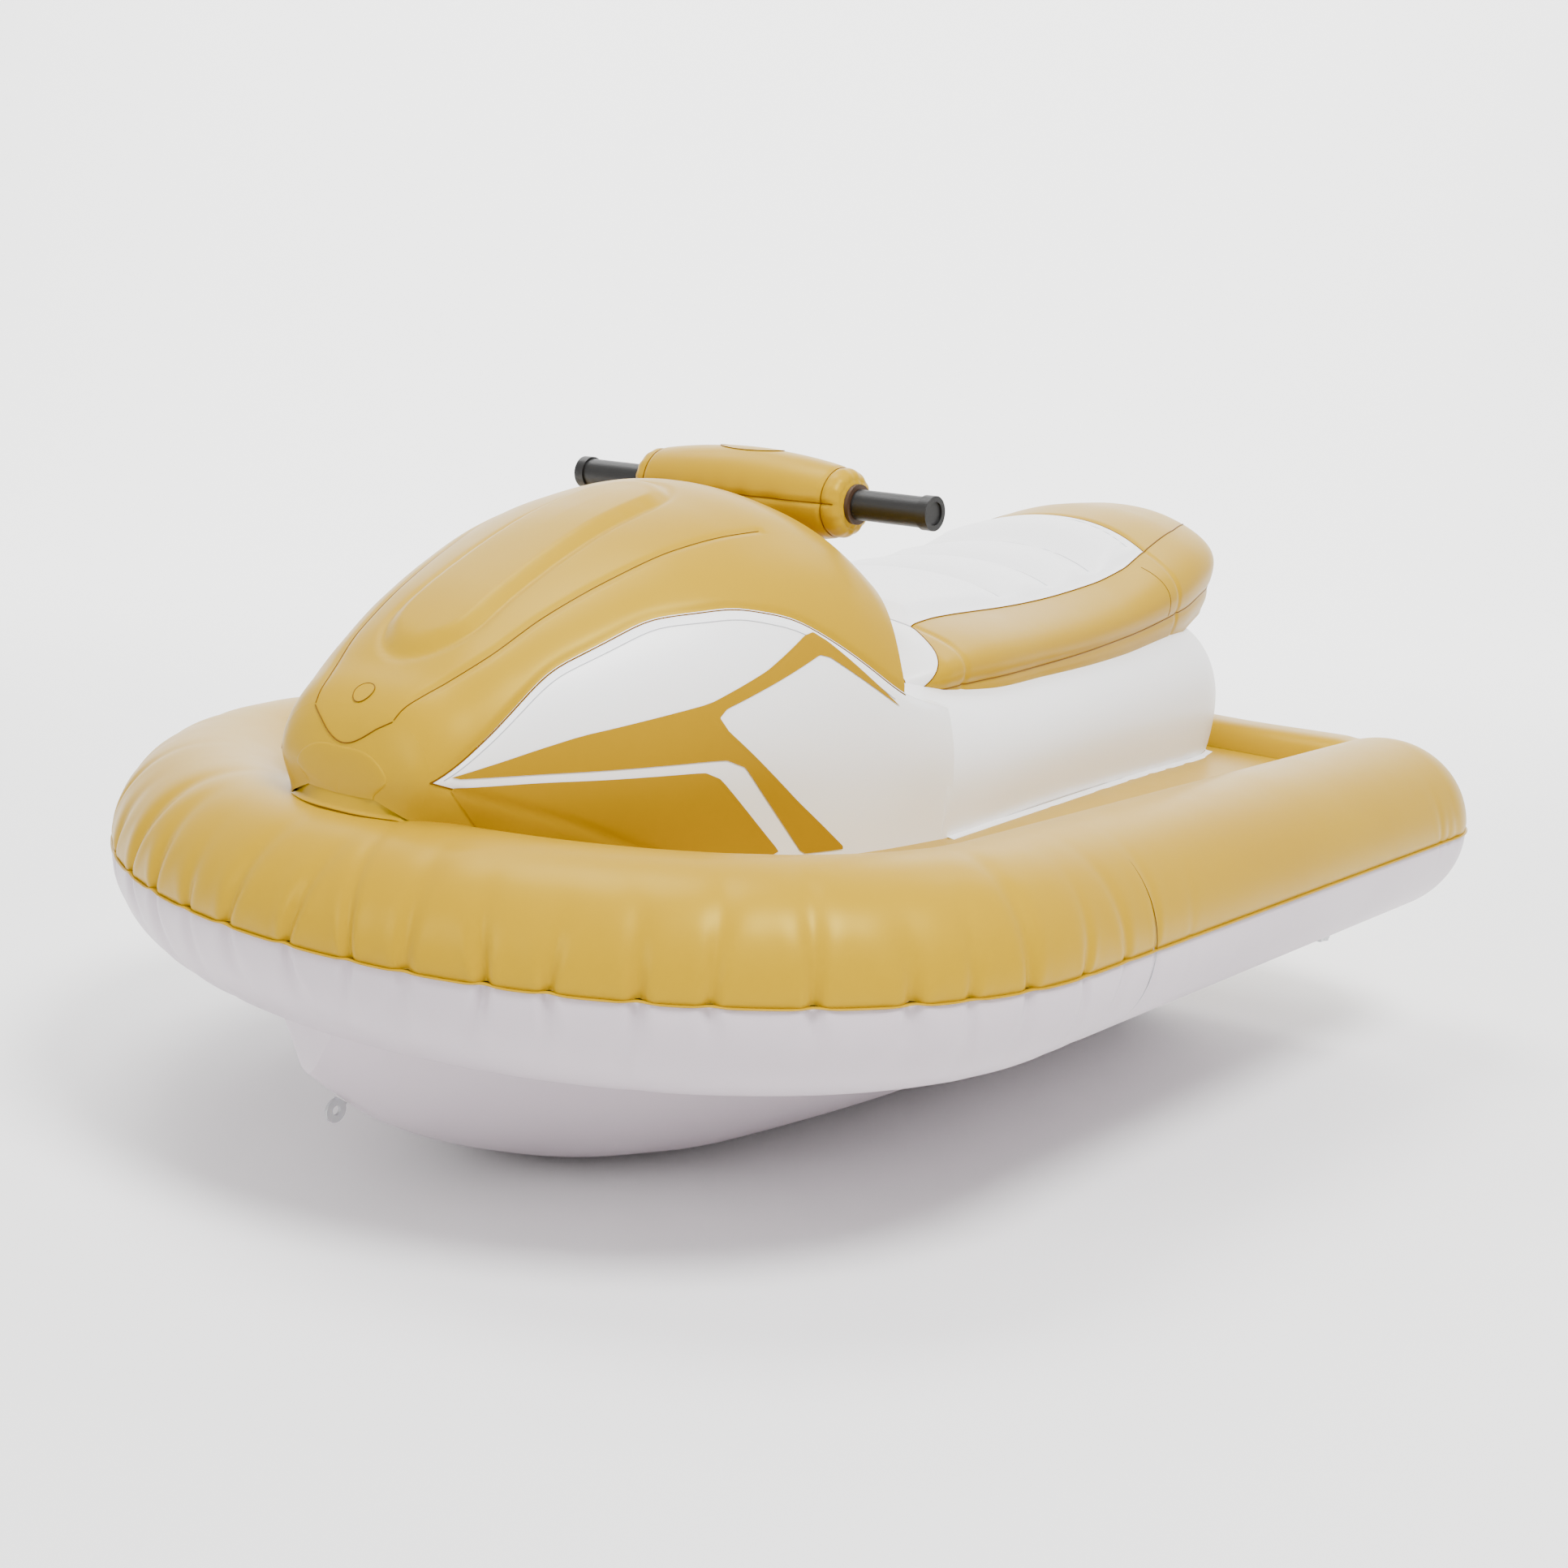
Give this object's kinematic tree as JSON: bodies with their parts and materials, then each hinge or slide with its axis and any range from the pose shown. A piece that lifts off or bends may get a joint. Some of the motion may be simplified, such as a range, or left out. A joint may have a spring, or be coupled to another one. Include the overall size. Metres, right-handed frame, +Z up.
{
  "type": "inflatable ride-on water float",
  "caption": "Inflatable ride-on water float shaped like a small jet craft, with tube hull, keel, hood, quilted seat, cross handlebar, tow eye and air valves.",
  "frame": {"origin": "middle of the footprint box, at the underside of the keel", "axes": "+X to the bow, +Y to port, +Z up"},
  "size_m": [1.51, 1.1438, 0.7088],
  "materials": {
    "yellow_vinyl": "satin",
    "yellow_print": "satin",
    "white_vinyl": "satin",
    "underside_vinyl": "satin",
    "black_grip": "satin",
    "bar_tube": "satin",
    "clear_vinyl": "gloss",
    "valve_vinyl": "gloss"
  },
  "bodies": {
    "float": {"body_flange": "white_vinyl", "bulkhead_port": "underside_vinyl", "bulkhead_starboard": "underside_vinyl", "decal_lower_port": "yellow_print", "decal_lower_starboard": "yellow_print", "decal_upper_port": "yellow_print", "decal_upper_starboard": "yellow_print", "deck_panel": "yellow_vinyl", "front_side_skin": "white_vinyl", "grip_collar_port": "black_grip", "grip_collar_starboard": "black_grip", "hood_cover": "yellow_vinyl", "hood_ridge": "yellow_vinyl", "hull_bow_lower": "underside_vinyl", "hull_bow_upper": "yellow_vinyl", "hull_port_lower": "underside_vinyl", "hull_port_upper": "yellow_vinyl", "hull_seam_band": "yellow_vinyl", "hull_starboard_lower": "underside_vinyl", "hull_starboard_upper": "yellow_vinyl", "keel_shell": "underside_vinyl", "nose_patch": "yellow_vinyl", "pod_lower": "yellow_vinyl", "pod_patch": "yellow_vinyl", "pod_sleeve": "underside_vinyl", "pod_upper": "yellow_vinyl", "rear_body_skin": "white_vinyl", "seat_front_panel": "white_vinyl", "seat_quilt_top": "white_vinyl", "seat_side_skin": "yellow_vinyl", "stern_beam": "yellow_vinyl", "tow_eye": "clear_vinyl", "valve_body_base": "valve_vinyl", "valve_bow_base": "valve_vinyl", "valve_pod_base": "valve_vinyl", "valve_port_base": "valve_vinyl", "valve_seat_base": "valve_vinyl", "valve_starboard_base": "valve_vinyl"},
    "handlebar": {"handlebar_tube": "bar_tube", "grip_port": "black_grip", "grip_starboard": "black_grip", "grip_end_port": "black_grip", "grip_end_starboard": "black_grip"},
    "bow_neck": {"valve_bow_neck": "valve_vinyl"},
    "bow_cap": {"valve_bow_cap": "valve_vinyl"},
    "starboard_neck": {"valve_starboard_neck": "valve_vinyl"},
    "starboard_cap": {"valve_starboard_cap": "valve_vinyl"},
    "port_neck": {"valve_port_neck": "valve_vinyl"},
    "port_cap": {"valve_port_cap": "valve_vinyl"},
    "body_neck": {"valve_body_neck": "valve_vinyl"},
    "body_cap": {"valve_body_cap": "valve_vinyl"},
    "seat_neck": {"valve_seat_neck": "valve_vinyl"},
    "seat_cap": {"valve_seat_cap": "valve_vinyl"},
    "pod_neck": {"valve_pod_neck": "valve_vinyl"},
    "pod_cap": {"valve_pod_cap": "valve_vinyl"}
  },
  "joints": [
    {"name": "bar_roll", "type": "hinge", "parent": "float", "child": "handlebar", "pos_m": [0.089, 0, 0.66], "axis": [0, 1, 0], "continuous": true},
    {"name": "bow_neck_push", "type": "slide", "parent": "float", "child": "bow_neck", "axis": [0, 0, 1], "range_m": [-0.011, 0]},
    {"name": "bow_cap_hinge", "type": "hinge", "parent": "bow_neck", "child": "bow_cap", "pos_m": [0.187, -0.46059, 0.404], "axis": [0, -1, 0], "range_deg": [0, 110]},
    {"name": "starboard_neck_push", "type": "slide", "parent": "float", "child": "starboard_neck", "axis": [0, 0, 1], "range_m": [-0.011, 0]},
    {"name": "starboard_cap_hinge", "type": "hinge", "parent": "starboard_neck", "child": "starboard_cap", "pos_m": [-0.313, -0.45039, 0.404], "axis": [0, -1, 0], "range_deg": [0, 110]},
    {"name": "port_neck_push", "type": "slide", "parent": "float", "child": "port_neck", "axis": [0, 0, -1], "range_m": [-0.011, 0]},
    {"name": "port_cap_hinge", "type": "hinge", "parent": "port_neck", "child": "port_cap", "pos_m": [-0.487, 0.44631, 0.156], "axis": [0, -1, 0], "range_deg": [0, 110]},
    {"name": "body_neck_push", "type": "slide", "parent": "float", "child": "body_neck", "axis": [-1, 0, 0], "range_m": [-0.011, 0]},
    {"name": "body_cap_hinge", "type": "hinge", "parent": "body_neck", "child": "body_cap", "pos_m": [-0.667, 0.073, 0.42], "axis": [0, 0, -1], "range_deg": [0, 110]},
    {"name": "seat_neck_push", "type": "slide", "parent": "float", "child": "seat_neck", "axis": [0, 0, -1], "range_m": [-0.011, 0]},
    {"name": "seat_cap_hinge", "type": "hinge", "parent": "seat_neck", "child": "seat_cap", "pos_m": [-0.69, 0.073, 0.482], "axis": [1, 0, 0], "range_deg": [0, 110]},
    {"name": "pod_neck_push", "type": "slide", "parent": "float", "child": "pod_neck", "axis": [-1, 0, 0], "range_m": [-0.011, 0]},
    {"name": "pod_cap_hinge", "type": "hinge", "parent": "pod_neck", "child": "pod_cap", "pos_m": [0.0224, -0.047, 0.66], "axis": [0, 0, -1], "range_deg": [0, 110]}
  ]
}
